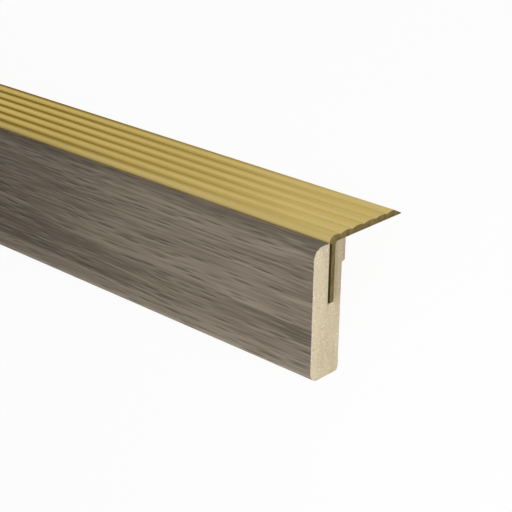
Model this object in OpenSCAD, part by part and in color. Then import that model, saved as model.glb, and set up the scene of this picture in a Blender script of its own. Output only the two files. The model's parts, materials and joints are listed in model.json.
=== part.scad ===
// Stair nosing: a foil-wrapped fibreboard strip with a ribbed metal tread cap pressed into its top.
// All sizes are in millimetres. The sections are drawn as the nosing is used, with depth to the right
// and height up from the lower front corner of the board, and run along the length.
// The whole nosing is then laid down as it rests on a floor: on its heel and its feathered edge.

/* [Stock] */
// Length of the board
stock_length = 900; // [300:10:3000]
// How far the saw-cut tread cap stands out past each end of the board
cap_proud = 0.2; // [0:0.1:2]

/* [Fibreboard] */
// Thickness of the board below its lip
board_t = 12; // [10:0.5:18]
// Height of the board
board_h = 40.8; // [34:0.2:80]
// Radius of the upper front edge
brow_r = 3.5; // [1.5:0.1:5]
// Radius of the lower front edge
toe_r = 3; // [1:0.1:5]
// Width of the bevel under the back edge
heel_w = 0.5; // [0.2:0.1:2]
// Height of the bevel under the back edge
heel_h = 1.4; // [0.2:0.1:3]
// How far the lip stands out behind the board
lip_out = 1.3; // [0.3:0.1:3]
// Height of the lip's back face
lip_h = 6.8; // [3:0.1:12]
// Fall of the lip's underside towards the board
lip_fall = 0.4; // [0.1:0.1:1.5]
// Distance from the decor face to the groove for the cap's leg
groove_setback = 6.4; // [5.5:0.1:8]

/* [Decor foil] */
// Thickness of the foil
foil_t = 0.3; // [0.1:0.05:0.6]
// Width of the flat strip that the foil covers under the board
foil_turn = 1; // [0.5:0.1:4]

/* [Tread cap] */
// Thickness of the flange in its valleys
flange_t = 1.7; // [1:0.1:3]
// Height of the ribs above the valleys
rib_h = 0.4; // [0.2:0.05:1]
// Distance from rib to rib
rib_pitch = 5.2; // [4:0.1:7]
// Number of ribs, with the nose as the first
rib_count = 6; // [3:1:12]
// Radius of the valleys between the ribs
valley_r = 0.5; // [0.2:0.1:1.5]
// Slope of the feathered back edge, in degrees
feather_angle = 28; // [20:1:40]
// Radius between the last crest and that slope
feather_r = 2; // [0.5:0.1:3]
// Thickness left at the feathered edge
feather_t = 0.2; // [0.1:0.05:0.5]
// How far the nose laps over the foil in front of the groove
nose_lap = 0.4; // [0:0.1:1]
// Thickness of the leg
leg_t = 1.6; // [1:0.1:3]
// Length of the leg below the flange
leg_l = 18.1; // [8:0.1:25]
// Radius of the fillet between the leg and the flange
root_r = 0.7; // [0.2:0.1:1.5]

/* [Fit] */
// Gap between the front of the leg and the groove
leg_play = 0.6; // [0.1:0.1:2]
// Gap between the end of the leg and the bottom of the groove
leg_gap = 0.3; // [0.1:0.1:2]
// Room that the bevel on the groove leaves around the root fillet
root_room = 0.3; // [0.1:0.1:1]

/* [Hidden] */
$fn = 64;

// Points that each sampled arc is divided by
arc_steps = 6;
// How far a cutting shape reaches past the material
overcut = 1;

crest_t = flange_t + rib_h;
lip_back = board_t + lip_out;
lip_foot = board_h - lip_h;
groove_back = groove_setback + leg_play + leg_t;
groove_foot = board_h - leg_l - leg_gap;
groove_bevel = root_r + root_room;
nose_front = groove_setback - nose_lap;
first_crest = nose_front + crest_t;
last_crest = first_crest + (rib_count - 1) * rib_pitch;

// A crest arc and the valley arc beside it share a tangent, halfway down the rib's side.
half_pitch = rib_pitch / 2;
crest_r = (half_pitch * half_pitch + rib_h * rib_h) / (2 * rib_h) - valley_r;
crest_centre_h = board_h + crest_t - crest_r;
valley_centre_h = board_h + flange_t + valley_r;
rib_slope = asin(half_pitch / (crest_r + valley_r));

// The last crest rounds off into the straight feathered slope.
feather_centre = [last_crest, board_h + crest_t - feather_r];
feather_drop = crest_t - feather_r * (1 - cos(feather_angle)) - feather_t;
flange_back = last_crest + feather_r * sin(feather_angle) + feather_drop / tan(feather_angle);

// At rest the line from the heel to the feathered edge lies on the floor, and the origin is midway
// between the toe and that edge.
heel_foot = board_t - heel_w;
rest_tilt = atan2(board_h, flange_back - heel_foot);
rest_back = norm([flange_back - heel_foot, board_h]) + feather_t * sin(rest_tilt);
rest_front = (toe_r - heel_foot) * cos(rest_tilt) + toe_r * sin(rest_tilt) - toe_r;
rest_middle = (rest_front + rest_back) / 2;

// Points along an arc about a centre, from one angle to another.
function arc(centre, r, from, to) =
    [for (i = [0:arc_steps]) let (a = from + (to - from) * i / arc_steps) centre + r * [cos(a), sin(a)]];

// The ribbed top from one crest through a valley to the next crest.
function rib_to_rib(crest) = concat(
    arc([crest, crest_centre_h], crest_r, 90, 90 - rib_slope),
    arc([crest + half_pitch, valley_centre_h], valley_r, 270 - rib_slope, 270 + rib_slope),
    arc([crest + rib_pitch, crest_centre_h], crest_r, 90 + rib_slope, 90));

// What is cut off a square corner at the origin to round it.
module corner_waste(r) {
    difference() {
        translate([-overcut, -overcut]) square(r + overcut);
        translate([r, r]) circle(r);
    }
}

// Outline of the board without its groove, moved in from the decor side by the given amount.
module board_outline(inset = 0) {
    top = board_h - inset;
    difference() {
        polygon([
            [inset, inset], [heel_foot, inset], [board_t, heel_h],
            [board_t, lip_foot - lip_fall], [lip_back, lip_foot], [lip_back, top], [inset, top]]);
        translate([inset, inset]) corner_waste(toe_r - inset);
        translate([inset, top]) mirror([0, 1]) corner_waste(brow_r - inset);
    }
}

// The band of foil, from the groove over the brow and the front and round the toe.
module foil_section() {
    foot_edge = toe_r + foil_turn;
    waist = board_h / 2;
    difference() {
        intersection() {
            board_outline();
            union() {
                translate([-overcut, -overcut]) square([foot_edge + overcut, waist + overcut]);
                translate([-overcut, waist]) square([groove_setback + overcut, waist + overcut]);
            }
        }
        board_outline(foil_t);
    }
}

// The groove, with a bevel on its back edge that clears the cap's root fillet.
module groove_section() {
    polygon([
        [groove_setback, groove_foot], [groove_back, groove_foot],
        [groove_back, board_h - groove_bevel], [groove_back + groove_bevel, board_h],
        [groove_back + groove_bevel, board_h + overcut], [groove_setback, board_h + overcut]]);
}

// Rounded nose, ribbed top, feathered back edge, flat underside, root fillet and leg.
module cap_section() {
    leg_front = groove_back - leg_t;
    leg_foot = board_h - leg_l;
    polygon(concat(
        arc([first_crest, board_h], crest_t, 180, 90),
        [for (i = [0:rib_count - 2]) each rib_to_rib(first_crest + i * rib_pitch)],
        arc(feather_centre, feather_r, 90, 90 - feather_angle),
        [[flange_back, board_h + feather_t], [flange_back, board_h]],
        arc([groove_back + root_r, board_h - root_r], root_r, 90, 180),
        [[groove_back, leg_foot], [leg_front, leg_foot], [leg_front, board_h]]));
}

// Lays a section down as the nosing rests and runs it along the length.
module along_length(length) {
    rotate([90, 0, 90]) linear_extrude(length, center = true)
        translate([-rest_middle, 0]) rotate(-rest_tilt) translate([-heel_foot, 0]) children();
}

module fibreboard() {
    color("tan") along_length(stock_length) difference() {
        board_outline();
        foil_section();
        groove_section();
    }
}

module decor_foil() {
    color("dimgray") along_length(stock_length) foil_section();
}

module tread_cap() {
    color("darkkhaki") along_length(stock_length + 2 * cap_proud) cap_section();
}

fibreboard();
decor_foil();
tread_cap();
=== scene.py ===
"""Looks of the stair nosing: satin gold tread cap, raw fibreboard and oak-print foil.

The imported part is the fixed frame. Sizes are in millimetres in the section, which is drawn as the nosing
is used, with depth to the back and height upwards from the lower front corner of the board. RestPose turns
the section into the stored frame, in metres, where the nosing lies on its heel and its feathered edge.
"""

import json
import logging
import math
from dataclasses import dataclass
from enum import Enum
from typing import Callable, Union

import bpy
from mathutils import Matrix, Vector

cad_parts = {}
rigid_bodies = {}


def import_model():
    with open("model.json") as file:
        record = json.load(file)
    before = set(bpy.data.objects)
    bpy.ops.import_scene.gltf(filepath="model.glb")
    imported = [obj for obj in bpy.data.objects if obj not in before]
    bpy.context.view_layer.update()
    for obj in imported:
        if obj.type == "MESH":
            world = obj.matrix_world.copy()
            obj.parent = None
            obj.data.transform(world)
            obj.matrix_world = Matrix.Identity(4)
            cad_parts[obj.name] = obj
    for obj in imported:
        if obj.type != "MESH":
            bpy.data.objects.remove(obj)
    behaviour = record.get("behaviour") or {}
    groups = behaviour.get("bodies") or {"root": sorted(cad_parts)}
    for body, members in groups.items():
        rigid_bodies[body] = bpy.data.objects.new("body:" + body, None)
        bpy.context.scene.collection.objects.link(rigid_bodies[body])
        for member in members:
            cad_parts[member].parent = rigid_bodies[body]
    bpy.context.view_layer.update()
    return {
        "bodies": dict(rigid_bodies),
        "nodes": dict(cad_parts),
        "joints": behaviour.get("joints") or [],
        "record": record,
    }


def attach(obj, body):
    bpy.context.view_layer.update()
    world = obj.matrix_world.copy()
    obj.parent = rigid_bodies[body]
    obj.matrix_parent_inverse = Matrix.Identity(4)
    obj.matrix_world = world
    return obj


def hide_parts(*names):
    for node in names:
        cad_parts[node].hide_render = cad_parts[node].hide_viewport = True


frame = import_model()

log = logging.getLogger("stair_nosing")

MM = 0.001
BODY = "root"
# Least cosine of the angle to a direction at which a face counts as facing it
FACING = 0.9
# Values between which most of a noise lies
NOISE_RANGE = (0.3, 0.7)

Colour = tuple[float, float, float]
Triple = tuple[float, float, float]
Point = tuple[float, float]


@dataclass(frozen=True)
class Pattern:
    """A scattered pattern on a surface.

    Attributes:
        size: Size of the features along the length, the depth and the height, in millimetres.
        shift: How far the pattern is moved, in features, so that patterns differ.
        detail: Number of finer layers.
        rough: Strength of the finer layers.
    """

    size: Triple
    shift: float = 0
    detail: float = 2
    rough: float = 0.5


@dataclass(frozen=True)
class RestPose:
    """How the section lies in the stored frame.

    Attributes:
        depth: Direction from the decor face to the step.
        height: Direction from the toe to the tread cap.
        corner: Lower front corner of the section, at mid-length.
        half_length: Half the length of the board, in metres.
    """

    depth: Vector
    height: Vector
    corner: Vector
    half_length: float

    @classmethod
    def measured(cls, packed: dict) -> "RestPose":
        """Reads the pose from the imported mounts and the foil's outer faces.


        Returns:
            The pose of the section.
        """
        axes = {mount["name"]: Vector(mount["axis"]).normalized() for mount in packed["record"]["mounts"]}
        depth = axes["riser_face"]
        height = -axes["tread_seat"]
        points = [vertex.co for vertex in packed["nodes"]["decor_foil"].data.vertices]
        front = min(point.dot(depth) for point in points)
        foot = min(point.dot(height) for point in points)
        half_length = max(point.x for point in points)
        return cls(depth, height, depth * front + height * foot, half_length)

    @property
    def tilt(self) -> float:
        """Angle that the section is turned by about the length, in radians."""
        return math.atan2(-self.depth.z, self.depth.y)

    def turned(self, along: float, depth: float, height: float) -> Vector:
        """Turns a direction of the section into the stored frame."""
        return Vector((along, 0, 0)) + self.depth * depth + self.height * height

    def place(self, along: float, depth: float, height: float) -> Vector:
        """Gives the stored place, in metres, of a point of the section in millimetres."""
        return self.corner + self.turned(along, depth, height) * MM


class Shade:
    """A value in a node tree that Python arithmetic turns into Math nodes."""

    def __init__(self, paint: "Paint", socket: bpy.types.NodeSocket) -> None:
        """Wraps an output socket of a paint's tree."""
        self.paint = paint
        self.socket = socket

    def math(self, operation: str, *operands: "Operand") -> "Shade":
        """Adds one Math node.

        Args:
            operation: The node's operation.
            operands: Its inputs, in order, or none where it takes this value alone.

        Returns:
            The node's result.
        """
        sockets = dict(enumerate(operands or (self,)))
        made = self.paint.node("ShaderNodeMath", {"operation": operation}, sockets)
        return Shade(self.paint, made.outputs[0])

    def __add__(self, other: "Operand") -> "Shade":
        """Adds a value or a number."""
        return self.math("ADD", self, other)

    def __radd__(self, other: float) -> "Shade":
        """Adds this value to a number."""
        return self.math("ADD", other, self)

    def __sub__(self, other: "Operand") -> "Shade":
        """Takes a value or a number away."""
        return self.math("SUBTRACT", self, other)

    def __rsub__(self, other: float) -> "Shade":
        """Takes this value away from a number."""
        return self.math("SUBTRACT", other, self)

    def __mul__(self, other: "Operand") -> "Shade":
        """Multiplies by a value or a number."""
        return self.math("MULTIPLY", self, other)

    def __rmul__(self, other: float) -> "Shade":
        """Multiplies a number by this value."""
        return self.math("MULTIPLY", other, self)

    def __abs__(self) -> "Shade":
        """Gives the size of the value without its sign."""
        return self.math("ABSOLUTE")

    def step(self, low: float, high: float) -> "Shade":
        """Rises smoothly from 0 at the low value to 1 at the high one.

        Args:
            low: Value at and below which the result is 0.
            high: Value at and above which the result is 1.

        Returns:
            The smooth step.
        """
        made = self.paint.node(
            "ShaderNodeMapRange",
            {"interpolation_type": "SMOOTHSTEP"},
            {"Value": self, "From Min": low, "From Max": high},
        )
        return Shade(self.paint, made.outputs[0])


Operand = Union[Shade, float]
Tint = Union[bpy.types.NodeSocket, Colour]


class Paint:
    """The node tree of one material or of the world."""

    # Numbers of a Mix node's sockets that take and give colours
    MIX_INPUTS = (6, 7)
    MIX_OUTPUT = 2

    def __init__(self, owner: Union[bpy.types.Material, bpy.types.World]) -> None:
        """Empties a node tree and keeps it for painting.

        Args:
            owner: The material or the world that the tree belongs to.
        """
        owner.use_nodes = True
        self.tree = owner.node_tree
        self.tree.nodes.clear()

    def node(self, kind: str, settings: dict, sockets: dict) -> bpy.types.Node:
        """Adds a node.

        Args:
            kind: The node's type.
            settings: Properties of the node, set first.
            sockets: Values or links of its inputs, by name or by number.

        Returns:
            The node.
        """
        made = self.tree.nodes.new(kind)
        for name, value in settings.items():
            setattr(made, name, value)
        for key, value in sockets.items():
            if isinstance(value, Shade):
                self.tree.links.new(value.socket, made.inputs[key])
            elif isinstance(value, bpy.types.NodeSocket):
                self.tree.links.new(value, made.inputs[key])
            else:
                made.inputs[key].default_value = value
        return made

    def light_path(self, ray: str) -> Shade:
        """Gives 1 on rays of the named kind and 0 on others."""
        return Shade(self, self.node("ShaderNodeLightPath", {}, {}).outputs[ray])

    def backdrop_ray(self) -> Shade:
        """Gives 1 on the rays that show the backdrop: to the camera, in gloss and through glass."""
        seen = self.light_path("Is Camera Ray") + self.light_path("Is Glossy Ray")
        return seen + self.light_path("Is Transmission Ray")

    def section(self, pose: RestPose) -> bpy.types.NodeSocket:
        """Gives the place on the surface in the section: along, depth and height, in millimetres.

        Args:
            pose: How the section lies in the stored frame.

        Returns:
            The vector socket.
        """
        corner = (0, -pose.corner.dot(pose.depth) / MM, -pose.corner.dot(pose.height) / MM)
        stored = self.node("ShaderNodeTexCoord", {}, {}).outputs["Object"]
        turned = self.node(
            "ShaderNodeMapping",
            {"vector_type": "POINT"},
            {"Vector": stored, "Scale": (1 / MM,) * 3, "Rotation": (pose.tilt, 0, 0), "Location": corner},
        )
        return turned.outputs[0]

    def axis(self, place: bpy.types.NodeSocket, name: str) -> Shade:
        """Gives one coordinate of a place, by the name X, Y or Z."""
        return Shade(self, self.node("ShaderNodeSeparateXYZ", {}, {"Vector": place}).outputs[name])

    def scaled(self, place: bpy.types.NodeSocket, pattern: Pattern) -> bpy.types.NodeSocket:
        """Measures a place in features of a pattern.

        Args:
            place: Place on the surface, in millimetres.
            pattern: The pattern, whose size and shift are used.

        Returns:
            The vector socket.
        """
        scale = tuple(1 / length for length in pattern.size)
        made = self.node(
            "ShaderNodeMapping",
            {"vector_type": "POINT"},
            {"Vector": place, "Scale": scale, "Location": (pattern.shift,) * 3},
        )
        return made.outputs[0]

    def noise(self, place: bpy.types.NodeSocket, pattern: Pattern) -> Shade:
        """Adds a noise.

        Args:
            place: Place on the surface, in millimetres.
            pattern: The pattern of the noise.

        Returns:
            The noise, mostly within NOISE_RANGE.
        """
        sockets = {"Scale": 1, "Detail": pattern.detail, "Roughness": pattern.rough}
        made = self.node("ShaderNodeTexNoise", {}, {"Vector": self.scaled(place, pattern), **sockets})
        return Shade(self, made.outputs[0])

    def dots(self, place: bpy.types.NodeSocket, pattern: Pattern) -> Shade:
        """Gives the distance from a place to the nearest of a pattern's scattered dots, in spacings."""
        made = self.node("ShaderNodeTexVoronoi", {}, {"Vector": self.scaled(place, pattern), "Scale": 1})
        return Shade(self, made.outputs["Distance"])

    def moved(self, place: bpy.types.NodeSocket, by: Operand, direction: Triple) -> bpy.types.NodeSocket:
        """Moves a place along a direction.

        Args:
            place: Place on the surface, in millimetres.
            by: How far, in lengths of the direction.
            direction: Direction and unit of the move.

        Returns:
            The moved place.
        """
        push = self.node("ShaderNodeVectorMath", {"operation": "SCALE"}, {0: direction, "Scale": by})
        ends = {0: place, 1: push.outputs[0]}
        return self.node("ShaderNodeVectorMath", {"operation": "ADD"}, ends).outputs[0]

    def mix(self, share: Shade, low: Tint, high: Tint) -> bpy.types.NodeSocket:
        """Mixes two colours.

        Args:
            share: Share of the second colour.
            low: Colour at share 0.
            high: Colour at share 1.

        Returns:
            The mixed colour.
        """
        ends = {}
        for socket, colour in zip(self.MIX_INPUTS, (low, high)):
            ends[socket] = (*colour, 1) if isinstance(colour, tuple) else colour
        made = self.node("ShaderNodeMix", {"data_type": "RGBA"}, {"Factor": share, **ends})
        return made.outputs[self.MIX_OUTPUT]

    def bump(self, height: Shade, depth: float) -> bpy.types.NodeSocket:
        """Turns a height from 0 to 1 into a relief of the given depth in millimetres."""
        made = self.node("ShaderNodeBump", {}, {"Height": height, "Distance": depth * MM, "Strength": 1})
        return made.outputs[0]

    def principled(self, sockets: dict) -> None:
        """Ends the tree in a Principled shader with these inputs."""
        made = self.node("ShaderNodeBsdfPrincipled", {}, sockets)
        self.node("ShaderNodeOutputMaterial", {}, {"Surface": made.outputs[0]})


@dataclass(frozen=True)
class SatinGold:
    """Satin gold anodising on an extruded surface, with fine lines along the length.

    Dark lines of painted shade run along the crests and the nose and fade towards the ends.
    The leg is painted dark as the shade in its slot.

    Attributes:
        seat: Height of the flange's underside, in millimetres.
        crest: Depth of the first crest, in millimetres.
        pitch: Distance from rib to rib, in millimetres.
        deep: Colour of the darker drawing lines.
        bright: Colour of the lighter ones.
        edge: Tint of the gloss at a grazing angle.
        shade_line_colour: Colour of the painted shade lines.
        slot_shade_colour: Colour of the painted shade on the leg, in its slot.
        gloss: Roughness of the smoothest lines.
        relief: Depth of the lines, in millimetres.
        shade_line_width: Half the width of a painted shade line's core and of the whole line, in pitches.
        crest_rise: Heights over the seat between which the painted shade lines on the crests set in, in
            millimetres.
        nose_rise: Heights over the seat between which the painted shade low on the nose ends, in
            millimetres.
        short_fade: Distance from an end over which a part of the painted shade lines fades, in millimetres.
        long_fade: Distance over which the rest of them fades, in millimetres.
        lines: Drawing lines of the extrusion.
        cloud: Slow changes of tone.
        etch: Fine grain of the etched surface.
    """

    seat: float
    crest: float
    pitch: float
    deep: Colour = (0.52, 0.405, 0.15)
    bright: Colour = (0.645, 0.515, 0.212)
    edge: Colour = (0.78, 0.66, 0.38)
    shade_line_colour: Colour = (0.3, 0.18, 0.018)
    slot_shade_colour: Colour = (0.032, 0.023, 0.007)
    gloss: float = 0.3
    relief: float = 0.006
    shade_line_width: Point = (0.03, 0.3)
    crest_rise: Point = (1.2, 1.5)
    nose_rise: Point = (0.3, 1.7)
    short_fade: float = 60
    long_fade: float = 170
    lines: Pattern = Pattern((70, 0.22, 0.22), detail=3, rough=0.6)
    cloud: Pattern = Pattern((45, 9, 9), shift=31)
    etch: Pattern = Pattern((0.5, 0.16, 0.16), shift=57, rough=0.7)

    def make(self, pose: RestPose) -> bpy.types.Material:
        """Makes the material.

        Args:
            pose: How the section lies in the stored frame.

        Returns:
            The material.
        """
        material = bpy.data.materials.new("satin_gold")
        paint = Paint(material)
        place = paint.section(pose)
        lines = paint.noise(place, self.lines)
        cloud = paint.noise(place, self.cloud)
        etch = paint.noise(place, self.etch)
        tone = (lines * 0.45 + cloud * 0.3 + etch * 0.25).step(*NOISE_RANGE)
        depth = paint.axis(place, "Y")
        rise = paint.axis(place, "Z") - self.seat
        inset = pose.half_length / MM - abs(paint.axis(place, "X"))
        # Painted shade: dark, less metallic lines along the crests and the nose, fading towards the ends.
        from_crest = abs(((depth - self.crest) * (1 / self.pitch) + 0.5).math("FRACT") - 0.5)
        on_crest = (1 - from_crest.step(*self.shade_line_width)) * rise.step(*self.crest_rise)
        below_crest = 1 - rise.step(*self.nose_rise)
        on_nose = 1 - depth.step(self.crest - 1, self.crest)
        fade = 0.25 * inset.step(0, self.short_fade) + 0.7 * inset.step(0, self.long_fade)
        painted_shade_lines = on_crest * fade + on_nose * (0.16 + below_crest * (0.45 * fade - 0.08))
        # Painted shade: the leg is darker, duller and less metallic, standing in for the shade inside its
        # slot.
        painted_slot_shade = 1 - rise.step(-0.2, 0)
        drawn = paint.mix(tone, self.deep, self.bright)
        with_shade_lines = paint.mix(painted_shade_lines, drawn, self.shade_line_colour)
        paint.principled({
            "Base Color": paint.mix(painted_slot_shade * 0.95, with_shade_lines, self.slot_shade_colour),
            "Metallic": (1 - 0.85 * painted_shade_lines) * (1 - 0.8 * painted_slot_shade),
            "Roughness": self.gloss + 0.16 * etch + 0.25 * painted_slot_shade,
            "Specular IOR Level": 0,
            "Specular Tint": (*self.edge, 1),
            "Normal": paint.bump(lines * 0.7 + etch * 0.3, self.relief),
        })
        return material


@dataclass(frozen=True)
class SawnGold:
    """The cap's sawn end: dull, scored metal with a trace of the anodising.

    Attributes:
        dark: Colour of the scores.
        pale: Colour between them.
        relief: Depth of the scores, in millimetres.
        scores: Scores that the saw left.
        smear: Broader changes of tone.
    """

    dark: Colour = (0.165, 0.13, 0.057)
    pale: Colour = (0.292, 0.232, 0.115)
    relief: float = 0.02
    scores: Pattern = Pattern((1, 0.14, 5), detail=3, rough=0.6)
    smear: Pattern = Pattern((1, 1.6, 2.4), shift=13)

    def make(self, pose: RestPose) -> bpy.types.Material:
        """Makes the material.

        Args:
            pose: How the section lies in the stored frame.

        Returns:
            The material.
        """
        material = bpy.data.materials.new("sawn_gold")
        paint = Paint(material)
        place = paint.section(pose)
        scores = paint.noise(place, self.scores)
        smear = paint.noise(place, self.smear)
        tone = (scores * 0.55 + smear * 0.45).step(0.34, 0.66)
        paint.principled({
            "Base Color": paint.mix(tone, self.dark, self.pale),
            "Metallic": 1,
            "Roughness": 0.42 + 0.2 * scores,
            "Specular Tint": (*self.pale, 1),
            "Normal": paint.bump(scores, self.relief),
        })
        return material


class BoardCut(Enum):
    """How a face of the fibreboard was cut."""

    SAWN = "sawn"
    MILLED = "milled"

    @property
    def fibre_length(self) -> float:
        """Length of the fibres that show along the stock, in millimetres."""
        return 0.7 if self is BoardCut.SAWN else 6.0


@dataclass(frozen=True)
class RawFibreboard:
    """Bare medium-density fibreboard.

    Attributes:
        cut: How the face was cut.
        leg_back: Depth of the groove's back wall, in millimetres, beside which shadow is painted.
        groove_foot: Height of the groove's foot, in millimetres.
        leg_shadow_colour: Colour of the painted shadow beside the leg and under the flange.
        shade: Colour of the darker fibres.
        body: Colour of the lighter fibres.
        fleck: Colour of the palest loose fibres.
        pore: Colour of the pores and of the glue specks.
        relief: Depth of the fibres, in millimetres.
    """

    cut: BoardCut
    leg_back: float
    groove_foot: float
    leg_shadow_colour: Colour = (0.37, 0.295, 0.185)
    shade: Colour = (0.545, 0.45, 0.29)
    body: Colour = (0.69, 0.60, 0.43)
    fleck: Colour = (0.80, 0.74, 0.58)
    pore: Colour = (0.33, 0.255, 0.15)
    relief: float = 0.06

    def make(self, pose: RestPose) -> bpy.types.Material:
        """Makes the material.

        Args:
            pose: How the section lies in the stored frame.

        Returns:
            The material.
        """
        material = bpy.data.materials.new(f"{self.cut.value}_fibreboard")
        paint = Paint(material)
        place = paint.section(pose)
        along = self.cut.fibre_length
        fibres = paint.noise(place, Pattern((along, 0.5, 0.9), detail=4, rough=0.65))
        layers = paint.noise(place, Pattern((90, 2.6, 14), shift=19))
        flecks = paint.noise(place, Pattern((along, 0.7, 0.9), shift=41, detail=1)).step(0.64, 0.71)
        pores = paint.noise(place, Pattern((along, 0.55, 0.7), shift=73, detail=1)).step(0.67, 0.73)
        tone = (fibres * 0.6 + layers * 0.4).step(*NOISE_RANGE)
        depth = paint.axis(place, "Y")
        # Painted shadow beside the leg's back and under the flange, darkest next to the leg, with fewer
        # pale flecks.
        beside = depth.step(self.leg_back - 0.2, self.leg_back)
        beside = beside * (0.95 - 0.35 * depth.step(self.leg_back, self.leg_back + 2.6))
        above = paint.axis(place, "Z").step(self.groove_foot - 2, self.groove_foot + 3)
        painted_leg_shadow = beside * above
        fibrous = paint.mix(painted_leg_shadow, paint.mix(tone, self.shade, self.body), self.leg_shadow_colour)
        flecked = paint.mix(flecks * (0.75 - 0.5 * painted_leg_shadow), fibrous, self.fleck)
        paint.principled({
            "Base Color": paint.mix(pores * 0.8, flecked, self.pore),
            "Roughness": 0.86 - 0.14 * flecks,
            "Specular IOR Level": 0.2,
            "Normal": paint.bump(0.5 * fibres + 0.3 * flecks - 0.5 * pores, self.relief),
        })
        return material


@dataclass(frozen=True)
class OakPrintFoil:
    """Matt wood-print foil in a weathered grey-brown oak, with pores embossed along the grain.

    Light is painted on the toe as a paler colour, most of all at the turn and along the upper edge of that
    zone.

    Attributes:
        toe: Radius of the toe, around which the foil is wrapped, in millimetres.
        late: Colour of the dark growth bands.
        early: Colour of the light growth bands.
        fleck: Colour of the pale fibres.
        pale: Colour of the light painted on the toe.
        pore: Colour of the embossed pores.
        core: Colour that shows where the sawn edge is chipped.
        repeat: Distance between the broad lighter zones, partly print tone and partly painted light, in
            millimetres.
        phase: Where the first of them starts, in radians.
        pale_end: Heights over the toe between which the pale zone ends, in millimetres.
        line_rise: Heights over the toe between which the paler line along its edge sets in, in millimetres.
        line_fade: Distances from the ends between which that line sets in, in millimetres.
        wander_height: How far the edge of the pale zone wanders, in millimetres.
        chip_reach: Farthest that the chips reach in from the sawn ends, in millimetres.
        streak_strength: Share of the pale fibres' colour in the streaks.
        highlight_strength: Share of that colour in the painted highlights below the pores.
        pore_strength: Share of the pores' colour in the pores.
        drift: How far the grain sways across the length, in millimetres.
        bend: How far the broad light zones sway along the length, in millimetres.
        highlight_drop: How far below a pore its painted highlight lies, in millimetres.
        relief: Depth of the embossing, in millimetres.
        sway: Slow bends of the grain.
        bands: Broad growth bands.
        fibres: Fibres along the grain.
        threads: Finer fibres between them.
        patches: Zones where the pores are wider or narrower.
        strokes: Spacing of the pores.
        streaks: Pale streaks along the grain.
        wander: Rise and fall of the pale zone's edge.
        crumbs: Outline of the chips on the sawn edge.
    """

    toe: float
    late: Colour = (0.122, 0.099, 0.074)
    early: Colour = (0.288, 0.242, 0.188)
    fleck: Colour = (0.36, 0.32, 0.27)
    pale: Colour = (0.4, 0.345, 0.27)
    pore: Colour = (0.066, 0.053, 0.041)
    core: Colour = (0.66, 0.60, 0.48)
    repeat: float = 200
    phase: float = 1.55
    pale_end: Point = (2.5, 3.9)
    line_rise: Point = (1.5, 2.7)
    line_fade: Point = (20, 50)
    wander_height: float = 3
    chip_reach: float = 0.5
    streak_strength: float = 0.28
    highlight_strength: float = 0.36
    pore_strength: float = 0.47
    drift: float = 5
    bend: float = 40
    highlight_drop: float = 0.52
    relief: float = 0.08
    sway: Pattern = Pattern((95, 22, 22), shift=5, detail=1)
    bands: Pattern = Pattern((260, 7, 7), shift=222)
    fibres: Pattern = Pattern((38, 0.8, 0.8), shift=23, detail=3, rough=0.6)
    threads: Pattern = Pattern((16, 0.7, 0.7), shift=37, detail=1, rough=0.4)
    patches: Pattern = Pattern((48, 3.4, 3.4), shift=43, detail=1)
    strokes: Pattern = Pattern((13, 1.15, 1.15), shift=61)
    streaks: Pattern = Pattern((13, 0.75, 0.75), shift=83, detail=1, rough=0.4)
    wander: Pattern = Pattern((110, 14, 14), shift=139)
    crumbs: Pattern = Pattern((1, 0.7, 0.7), shift=97)

    def pores_at(self, paint: Paint, grain: bpy.types.NodeSocket, patch: Shade) -> Shade:
        """Gives 1 in the pores of the grain, which the patch widens or narrows, and 0 beside them."""
        return 1 - (paint.dots(grain, self.strokes) - patch).step(0.12, 0.42)

    def painted_toe_light(self, paint: Paint, place: bpy.types.NodeSocket, half_length: float) -> Shade:
        """Finds the share of light painted on the toe as a paler colour.

        Args:
            paint: The material's tree.
            place: Place on the surface, in millimetres.
            half_length: Distance from mid-length to the sawn ends, in millimetres.

        Returns:
            The share of the pale colour.
        """
        rise = paint.axis(place, "Z") - self.toe
        wavy_rise = rise + self.wander_height * (paint.noise(place, self.wander) - 0.5)
        toe_zone = 1 - wavy_rise.step(*self.pale_end)
        inset = half_length - abs(paint.axis(place, "X"))
        upper = wavy_rise.step(*self.line_rise) * inset.step(*self.line_fade)
        turned = 1 - rise.step(-0.5 * self.toe, 0)
        return (0.27 + 0.2 * upper) * toe_zone + 0.6 * turned

    def make(self, pose: RestPose) -> bpy.types.Material:
        """Makes the material.

        Args:
            pose: How the section lies in the stored frame.

        Returns:
            The material.
        """
        material = bpy.data.materials.new("oak_print_foil")
        paint = Paint(material)
        place = paint.section(pose)
        half_length = pose.half_length / MM
        sway = paint.noise(place, self.sway) - 0.5
        grain = paint.moved(place, sway, (0, self.drift, self.drift))
        bands = paint.noise(grain, self.bands)
        fibres = paint.noise(grain, self.fibres)
        threads = paint.noise(grain, self.threads)
        patch = 0.5 * (paint.noise(grain, self.patches) - 0.5)
        pores = self.pores_at(paint, grain, patch)
        # Painted highlight: a pale edge just below each embossed pore, as if lit from above.
        pores_above = self.pores_at(paint, paint.moved(grain, 1, (0, 0, self.highlight_drop)), patch)
        pore_highlights = pores_above * (1 - pores)
        streaks = paint.noise(grain, self.streaks).step(0.6, 0.74)
        along = paint.axis(place, "X")
        # Broad lighter zones along the length: partly print tone, partly painted light falloff along the
        # length.
        swell = ((along + self.bend * sway) * (2 * math.pi / self.repeat) + self.phase).math("SINE")
        tone = (0.4 * bands + 0.38 * fibres + 0.22 * threads + 0.065 * swell).step(0.33, 0.67)
        wood = paint.mix(tone, self.late, self.early)
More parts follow.
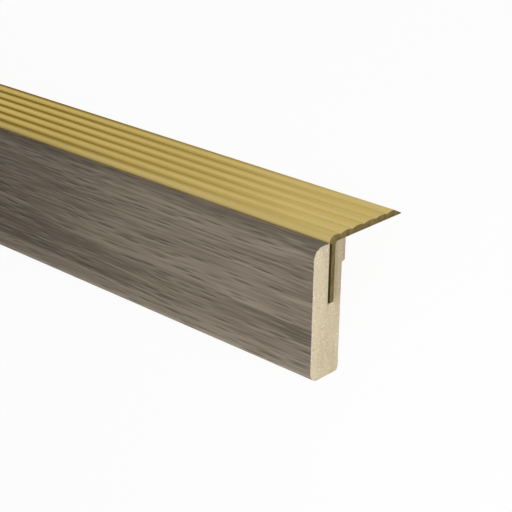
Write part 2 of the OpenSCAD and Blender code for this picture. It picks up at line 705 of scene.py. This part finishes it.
        # Painted light on the toe: a paler colour around the turn and along the upper edge of the toe's
        # zone.
        toe_lit = paint.mix(self.painted_toe_light(paint, place, half_length), wood, self.pale)
        flecked = paint.mix(streaks * self.streak_strength, toe_lit, self.fleck)
        highlighted = paint.mix(pore_highlights * self.highlight_strength, flecked, self.fleck)
        pored = paint.mix(pores * self.pore_strength, highlighted, self.pore)
        reach = abs(along) + self.chip_reach * paint.noise(place, self.crumbs)
        chips = reach.step(half_length + 0.02, half_length + 0.22)
        embossed = 0.3 * fibres + 0.25 * threads - 0.7 * pores + 0.2 * streaks
        paint.principled({
            "Base Color": paint.mix(chips, pored, self.core),
            "Roughness": 0.62 + 0.2 * fibres,
            "Specular IOR Level": 0.06,
            "Normal": paint.bump(embossed, self.relief),
        })
        return material


@dataclass(frozen=True)
class FoilCore:
    """The pale paper core that shows on the foil's cut edges.

    Attributes:
        shade: Colour of the darker fibres.
        body: Colour of the lighter fibres.
        relief: Depth of the fibres, in millimetres.
        fibres: Fibres of the paper.
    """

    shade: Colour = (0.55, 0.48, 0.36)
    body: Colour = (0.72, 0.65, 0.52)
    relief: float = 0.02
    fibres: Pattern = Pattern((0.6, 0.3, 0.5), detail=3)

    def make(self, pose: RestPose) -> bpy.types.Material:
        """Makes the material.

        Args:
            pose: How the section lies in the stored frame.

        Returns:
            The material.
        """
        material = bpy.data.materials.new("foil_core")
        paint = Paint(material)
        fibres = paint.noise(paint.section(pose), self.fibres)
        paint.principled({
            "Base Color": paint.mix(fibres.step(*NOISE_RANGE), self.shade, self.body),
            "Roughness": 0.75 + 0.15 * fibres,
            "Specular IOR Level": 0.25,
            "Normal": paint.bump(fibres, self.relief),
        })
        return material


class SectionPen:
    """Draws a closed outline in the plane of the section and sweeps it along the length."""

    # Distance within which points of the outline are joined, in metres
    WELD = 0.002 * MM
    # Distance from an end within which points belong to it, in metres
    END_ZONE = 0.01 * MM
    # Number of lengths that the stock is divided into
    BAYS = 12
    # Number of steps across the broken edge of an end
    RIM_STEPS = 2
    # Largest angle between faces that is shaded smooth, in degrees
    SMOOTH_ANGLE = 38

    def __init__(self, name: str, pose: RestPose, half_length: float, start: Point) -> None:
        """Puts the first point of the outline at one end of the stock.

        Args:
            name: Name of the piece.
            pose: How the section lies in the stored frame.
            half_length: Half the length of the piece, in millimetres.
            start: Depth and height of the first point, in millimetres.
        """
        self.pose = pose
        self.half_length = half_length
        self.last = start
        bpy.ops.object.select_all(action="DESELECT")
        bpy.ops.mesh.primitive_plane_add(size=MM, location=(0, 0, 0))
        self.piece = bpy.context.active_object
        self.piece.name = name
        self.piece.data.name = name
        bpy.ops.object.mode_set(mode="EDIT")
        bpy.ops.mesh.select_mode(type="VERT")
        bpy.ops.mesh.select_all(action="SELECT")
        bpy.ops.mesh.merge(type="CENTER")
        bpy.ops.transform.translate(value=pose.place(-half_length, *start))

    def line(self, *points: Point) -> None:
        """Draws straight lines from the last point.

        Args:
            points: Depth and height of the points to reach, in millimetres.
        """
        for point in points:
            step = self.pose.turned(0, point[0] - self.last[0], point[1] - self.last[1]) * MM
            bpy.ops.mesh.extrude_vertices_move(TRANSFORM_OT_translate={"value": step})
            self.last = point

    def arc(self, centre: Point, turn: float, steps: int) -> None:
        """Draws an arc from the last point.

        Args:
            centre: Depth and height of the arc's centre, in millimetres.
            turn: Angle of the arc, in degrees, from the depth towards the height.
            steps: Number of edges.
        """
        angle = math.radians(turn)
        bpy.ops.mesh.spin(
            steps=steps,
            angle=angle,
            center=self.pose.place(-self.half_length, *centre),
            axis=(-1, 0, 0),
        )
        arm = Matrix.Rotation(angle, 2) @ Vector((self.last[0] - centre[0], self.last[1] - centre[1]))
        self.last = (centre[0] + arm.x, centre[1] + arm.y)

    def sweep(self, rim: float) -> bpy.types.Object:
        """Closes the outline, sweeps it along the length and breaks the sawn rims.

        Args:
            rim: Width of the broken edge at each end, in millimetres.

        Returns:
            The piece.
        """
        bpy.ops.mesh.select_all(action="SELECT")
        bpy.ops.mesh.remove_doubles(threshold=self.WELD)
        bpy.ops.mesh.edge_face_add()
        length = 2 * self.half_length * MM
        bpy.ops.mesh.extrude_region_move(TRANSFORM_OT_translate={"value": (length, 0, 0)})
        bpy.ops.mesh.select_all(action="SELECT")
        bpy.ops.mesh.normals_make_consistent(inside=False)
        end = length / 2
        self.select_edges(lambda edge: abs(edge[0].x - edge[1].x) > end)
        bpy.ops.mesh.subdivide(number_cuts=self.BAYS - 1)
        self.select_edges(lambda edge: all(abs(abs(point.x) - end) < self.END_ZONE for point in edge))
        bpy.ops.mesh.bevel(offset=rim * MM, segments=self.RIM_STEPS, clamp_overlap=False)
        bpy.ops.object.mode_set(mode="OBJECT")
        bpy.ops.object.shade_smooth_by_angle(angle=math.radians(self.SMOOTH_ANGLE))
        return self.piece

    def select_edges(self, wanted: Callable[[tuple[Vector, Vector]], bool]) -> None:
        """Selects the edges of the piece whose end points pass a test.

        Args:
            wanted: Test of an edge's two end points, in metres.
        """
        bpy.ops.mesh.select_mode(type="EDGE")
        bpy.ops.mesh.select_all(action="DESELECT")
        bpy.ops.object.mode_set(mode="OBJECT")
        mesh = self.piece.data
        for edge in mesh.edges:
            first, second = (mesh.vertices[index].co for index in edge.vertices)
            edge.select = wanted((first, second))
        bpy.ops.object.mode_set(mode="EDIT")


def give_finishes(
    piece: bpy.types.Object,
    finishes: list[bpy.types.Material],
    second: Callable[[bpy.types.MeshPolygon], bool],
) -> None:
    """Gives a piece its two finishes.

    Args:
        piece: The piece.
        finishes: The main finish and the finish of the cut faces.
        second: Test of the faces that take the second finish.
    """
    for finish in finishes:
        piece.data.materials.append(finish)
    for face in piece.data.polygons:
        face.material_index = 1 if second(face) else 0


def is_end(face: bpy.types.MeshPolygon) -> bool:
    """Tells whether a face is a sawn end of the stock."""
    return abs(face.normal.x) > FACING


def hand_over(piece: bpy.types.Object, node: str) -> None:
    """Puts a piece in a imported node's place and reports it.

    Args:
        piece: The finished piece.
        node: The node that it stands for.
    """
    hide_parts(node)
    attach(piece, BODY)
    log.info("%s: %d faces, stands for %s", piece.name, len(piece.data.polygons), node)


@dataclass
class Fibreboard:
    """The fibreboard strip, grooved for the cap's leg and cut back for the foil.

    All sizes are in millimetres.

    Attributes:
        pose: How the section lies in the stored frame.
        thickness: Thickness of the board below its lip.
        height: Height of the board.
        brow: Radius of the upper front edge, over the foil.
        toe: Radius of the lower front edge, over the foil.
        heel: Width and height of the bevel under the back edge.
        lip: How far the lip stands out behind the board, its height and the fall of its underside.
        groove: Depth of the groove's front and back walls and height of its foot.
        groove_bevel: Bevel on the groove's back edge.
        foil: Thickness of the foil.
        foil_foot: Depth at which the foil ends under the board.
        rim: Width of the broken edges at the sawn ends.
    """

    pose: RestPose
    thickness: float = 12
    height: float = 40.8
    brow: float = 3.5
    toe: float = 3
    heel: Point = (0.5, 1.4)
    lip: Triple = (1.3, 6.8, 0.4)
    groove: Triple = (6.4, 8.6, 22.4)
    groove_bevel: float = 1
    foil: float = 0.3
    foil_foot: float = 4
    rim: float = 0.12

    def build(self) -> bpy.types.Object:
        """Draws the board's section and sweeps it.

        Returns:
            The board.
        """
        lip_out, lip_height, lip_fall = self.lip
        groove_front, groove_back, groove_foot = self.groove
        lip_back = self.thickness + lip_out
        lip_foot = self.height - lip_height
        bed = self.height - self.foil
        length = self.pose.half_length / MM
        pen = SectionPen("fibreboard_strip", self.pose, length, (self.foil_foot, 0))
        pen.line(
            (self.thickness - self.heel[0], 0),
            (self.thickness, self.heel[1]),
            (self.thickness, lip_foot - lip_fall),
            (lip_back, lip_foot),
            (lip_back, self.height),
            (groove_back + self.groove_bevel, self.height),
            (groove_back, self.height - self.groove_bevel),
            (groove_back, groove_foot),
            (groove_front, groove_foot),
            (groove_front, bed),
            (self.brow, bed),
        )
        pen.arc((self.brow, self.height - self.brow), 90, steps=12)
        pen.line((self.foil, self.toe))
        pen.arc((self.toe, self.toe), 90, steps=12)
        pen.line((self.foil_foot, self.foil), (self.foil_foot, 0))
        return pen.sweep(self.rim)

    def dress(self, piece: bpy.types.Object) -> None:
        """Gives the board its milled sides and sawn ends and hands it over.

        Args:
            piece: The board.
        """
        sides = RawFibreboard(BoardCut.MILLED, *self.groove[1:]).make(self.pose)
        ends = RawFibreboard(BoardCut.SAWN, *self.groove[1:]).make(self.pose)
        give_finishes(piece, [sides, ends], is_end)
        hand_over(piece, "fibreboard")


@dataclass
class DecorFoil:
    """The wood-print foil, from the groove over the brow, down the front and under the toe.

    Attributes:
        board: The board that the foil is wrapped around.
        rim: Width of the broken edges at the sawn ends, in millimetres.
    """

    board: Fibreboard
    rim: float = 0.04

    def build(self) -> bpy.types.Object:
        """Draws the foil's section and sweeps it.

        Returns:
            The foil.
        """
        board = self.board
        top = board.height
        edge = board.groove[0]
        brow_centre = (board.brow, top - board.brow)
        toe_centre = (board.toe, board.toe)
        pen = SectionPen("oak_print_foil", board.pose, board.pose.half_length / MM, (edge, top))
        pen.line((board.brow, top))
        pen.arc(brow_centre, 90, steps=14)
        pen.line((0, board.toe))
        pen.arc(toe_centre, 90, steps=14)
        pen.line((board.foil_foot, 0), (board.foil_foot, board.foil), (board.toe, board.foil))
        pen.arc(toe_centre, -90, steps=14)
        pen.line((board.foil, top - board.brow))
        pen.arc(brow_centre, -90, steps=14)
        pen.line((edge, top - board.foil), (edge, top))
        return pen.sweep(self.rim)

    def dress(self, piece: bpy.types.Object) -> None:
        """Gives the foil its print and its pale core, which shows on cut edges, and hands it over.

        Args:
            piece: The foil.
        """
        pose = self.board.pose

        def is_cut(face: bpy.types.MeshPolygon) -> bool:
            """Tells whether a face shows the core: a sawn end, a slit edge or the glued back."""
            return is_end(face) or face.normal.dot(pose.depth) > FACING

        give_finishes(piece, [OakPrintFoil(self.board.toe).make(pose), FoilCore().make(pose)], is_cut)
        hand_over(piece, "decor_foil")


@dataclass
class TreadCap:
    """The extruded cap: rounded nose, ribbed top, feathered back edge and a leg in the groove.

    All sizes are in millimetres.

    Attributes:
        board: The board that the cap is pressed into.
        proud: How far the cap stands out past each end of the board.
        flange: Thickness of the flange in its valleys.
        rib_height: Height of the ribs above the valleys.
        rib_pitch: Distance from rib to rib.
        rib_count: Number of ribs, with the nose as the first.
        valley: Radius of the valleys.
        feather_angle: Slope of the feathered edge, in degrees.
        feather: Radius between the last crest and that slope.
        feather_edge: Thickness left at the feathered edge.
        nose_lap: How far the nose laps over the foil.
        leg: Thickness and length of the leg.
        root: Radius between the leg and the flange.
        rim: Width of the broken edges at the sawn ends.
    """

    board: Fibreboard
    proud: float = 0.2
    flange: float = 1.7
    rib_height: float = 0.4
    rib_pitch: float = 5.2
    rib_count: int = 6
    valley: float = 0.5
    feather_angle: float = 28
    feather: float = 2
    feather_edge: float = 0.2
    nose_lap: float = 0.4
    leg: Point = (1.6, 18.1)
    root: float = 0.7
    rim: float = 0.07

    @property
    def half_length(self) -> float:
        """Half the length of the cap, in millimetres."""
        return self.board.pose.half_length / MM + self.proud

    @property
    def nose(self) -> float:
        """Depth of the front of the nose, in millimetres."""
        return self.board.groove[0] - self.nose_lap

    @property
    def ribs(self) -> list[float]:
        """Depths of the crests, in millimetres."""
        first = self.nose + self.flange + self.rib_height
        return [first + index * self.rib_pitch for index in range(self.rib_count)]

    def build(self) -> bpy.types.Object:
        """Draws the cap's section and sweeps it.

        Returns:
            The cap.
        """
        seat = self.board.height
        nose = self.nose
        ribs = self.ribs
        crest = self.flange + self.rib_height
        last_centre = seat + crest - self.feather
        leg_back = self.board.groove[1]
        leg_front = leg_back - self.leg[0]
        leg_foot = seat - self.leg[1]
        half_pitch = self.rib_pitch / 2
        crest_radius = (half_pitch ** 2 + self.rib_height ** 2) / (2 * self.rib_height) - self.valley
        crest_centre = seat + crest - crest_radius
        valley_centre = seat + self.flange + self.valley
        slope = math.degrees(math.asin(half_pitch / (crest_radius + self.valley)))
        pen = SectionPen("ribbed_tread_cap", self.board.pose, self.half_length, (nose, seat))
        pen.arc((ribs[0], seat), -90, steps=14)
        for rib in ribs[:-1]:
            pen.arc((rib, crest_centre), -slope, steps=7)
            pen.arc((rib + half_pitch, valley_centre), 2 * slope, steps=10)
            pen.arc((rib + self.rib_pitch, crest_centre), -slope, steps=7)
        pen.arc((ribs[-1], last_centre), -self.feather_angle, steps=8)
        fall = pen.last[1] - seat - self.feather_edge
        back = pen.last[0] + fall / math.tan(math.radians(self.feather_angle))
        pen.line((back, seat + self.feather_edge), (back, seat), (leg_back + self.root, seat))
        pen.arc((leg_back + self.root, seat - self.root), 90, steps=10)
        pen.line((leg_back, leg_foot), (leg_front, leg_foot), (leg_front, seat), (nose, seat))
        return pen.sweep(self.rim)

    def dress(self, piece: bpy.types.Object) -> None:
        """Gives the cap its anodised faces and sawn ends and hands it over.

        Args:
            piece: The cap.
        """
        pose = self.board.pose
        gold = SatinGold(self.board.height, self.ribs[0], self.rib_pitch)
        give_finishes(piece, [gold.make(pose), SawnGold().make(pose)], is_end)
        hand_over(piece, "tread_cap")


@dataclass(frozen=True)
class Softbox:
    """A rectangular studio lamp.

    Attributes:
        name: Name of the lamp.
        place: Where it stands, in metres.
        aim: The point that it faces, in metres.
        size: Width and height, in metres.
        power: Power in watts.
    """

    name: str
    place: Triple
    aim: Triple
    size: Point
    power: float

    def hang(self) -> None:
        """Adds the lamp to the scene."""
        lamp = bpy.data.lights.new(self.name, "AREA")
        lamp.shape = "RECTANGLE"
        lamp.size, lamp.size_y = self.size
        lamp.energy = self.power
        held = bpy.data.objects.new(self.name, lamp)
        bpy.context.scene.collection.objects.link(held)
        held.location = self.place
        held.rotation_euler = (Vector(self.aim) - Vector(self.place)).to_track_quat("-Z", "Y").to_euler()
        held.visible_camera = False
        held.visible_glossy = False


@dataclass
class Studio:
    """Pale floor, white surroundings and soft lamps.

    Attributes:
        near_end: The end of the nosing that is nearest the camera, in metres.
        floor_size: Side of the floor, in metres.
        ambient: Light of the surroundings.
        backdrop: Share of plain white in the floor as the camera sees it, beside its shadows.
        floor_colour: Colour of the floor.
    """

    near_end: float
    floor_size: float = 12
    ambient: float = 0.2
    backdrop: float = 0.95
    floor_colour: Colour = (0.8, 0.8, 0.8)

    def set_up(self) -> None:
        """Sets the colour management and adds the surroundings, the floor and the lamps."""
        bpy.context.scene.view_settings.view_transform = "Standard"
        self.surround()
        self.lay_floor()
        for softbox in self.softboxes():
            softbox.hang()

    def softboxes(self) -> list[Softbox]:
        """Gives the lamps.

        Returns:
            The key beyond the near end, the lamp facing that end, the fill in front, the lamp overhead, the
            strip along the rest of the decor and the lamp beyond the far end.
        """
        end = self.near_end
        return [
            Softbox("key_softbox", (end + 0.17, -0.06, 0.2), (end - 0.05, 0, 0.02), (0.2, 0.2), 0.58),
            Softbox("end_softbox", (end + 1.0, 0.1, 0.35), (end, 0, 0.02), (0.6, 0.6), 0.46),
            Softbox("fill_softbox", (0.1, -1.0, 0.12), (0, 0, 0.02), (1.2, 0.2), 1.3),
            Softbox("top_softbox", (0.3, 0.55, 1.0), (0.25, 0, 0.02), (1.0, 0.8), 2.4),
            Softbox("strip_softbox", (-0.2, -0.13, 0.21), (-0.2, 0, 0.02), (0.5, 0.1), 0.27),
            Softbox("far_softbox", (-end - 0.3, -0.06, 0.3), (-end + 0.05, 0, 0.02), (0.3, 0.3), 0.9),
        ]

    def surround(self) -> None:
        """Makes the world white to look at and dimmer as a light."""
        world = bpy.data.worlds.new("studio")
        bpy.context.scene.world = world
        paint = Paint(world)
        strength = self.ambient + (1 - self.ambient) * paint.backdrop_ray()
        made = paint.node("ShaderNodeBackground", {}, {"Color": (1, 1, 1, 1), "Strength": strength})
        paint.node("ShaderNodeOutputWorld", {}, {"Surface": made.outputs[0]})

    def lay_floor(self) -> None:
        """Adds the floor, which shows white with a soft shadow."""
        bpy.ops.object.select_all(action="DESELECT")
        bpy.ops.mesh.primitive_plane_add(size=self.floor_size, location=(0, 0, 0))
        floor = bpy.context.active_object
        floor.name = "studio_floor"
        material = bpy.data.materials.new("pale_floor")
        paint = Paint(material)
        matt = paint.node("ShaderNodeBsdfDiffuse", {}, {"Color": (*self.floor_colour, 1)})
        white = paint.node("ShaderNodeEmission", {}, {"Color": (1, 1, 1, 1), "Strength": 1})
        share = self.backdrop * paint.backdrop_ray()
        shown = paint.node("ShaderNodeMixShader", {}, {0: share, 1: matt.outputs[0], 2: white.outputs[0]})
        paint.node("ShaderNodeOutputMaterial", {}, {"Surface": shown.outputs[0]})
        floor.data.materials.append(material)


@dataclass(frozen=True)
class PhotoCamera:
    """The photograph's viewpoint, beside the near end.

    Attributes:
        stand: Place from the lower front corner of the near end: along, depth and height, in millimetres.
        azimuth: Turn from looking straight at the decor face, in degrees.
        elevation: How far it looks down, in degrees.
        roll: Turn about its own axis, in degrees.
        lens: Focal length, in millimetres.
        sensor: Width of the sensor, in millimetres.
        clip: Nearest distance that shows, in metres.
    """

    stand: Triple = (217.7, -263.4, 184.95)
    azimuth: float = 42.2177
    elevation: float = 23.1809
    roll: float = 0.8886
    lens: float = 96.96
    sensor: float = 36
    clip: float = 0.01

    def set_up(self, pose: RestPose) -> None:
        """Adds the camera to the scene.

        Args:
            pose: How the section lies in the stored frame.
        """
        data = bpy.data.cameras.new("photo_camera")
        data.lens = self.lens
        data.sensor_width = self.sensor
        data.clip_start = self.clip
        camera = bpy.data.objects.new("photo_camera", data)
        bpy.context.scene.collection.objects.link(camera)
        aim = (
            Matrix.Rotation(math.radians(self.azimuth), 3, "Z")
            @ Matrix.Rotation(math.radians(90 - self.elevation), 3, "X")
            @ Matrix.Rotation(math.radians(self.roll), 3, "Z")
        )
        rest = Matrix.Rotation(-pose.tilt, 3, "X")
        along, depth, height = self.stand
        place = pose.place(pose.half_length / MM + along, depth, height)
        camera.matrix_world = Matrix.Translation(place) @ (rest @ aim).to_4x4()
        bpy.context.scene.camera = camera


def main() -> None:
    """Builds and dresses the pieces in order, then sets up the studio and the camera."""
    logging.basicConfig(level=logging.INFO, format="%(message)s")
    pose = RestPose.measured(frame)
    board = Fibreboard(pose)
    for part in (board, DecorFoil(board), TreadCap(board)):
        part.dress(part.build())
    Studio(near_end=pose.half_length).set_up()
    PhotoCamera().set_up(pose)


if __name__ == "__main__":
    main()
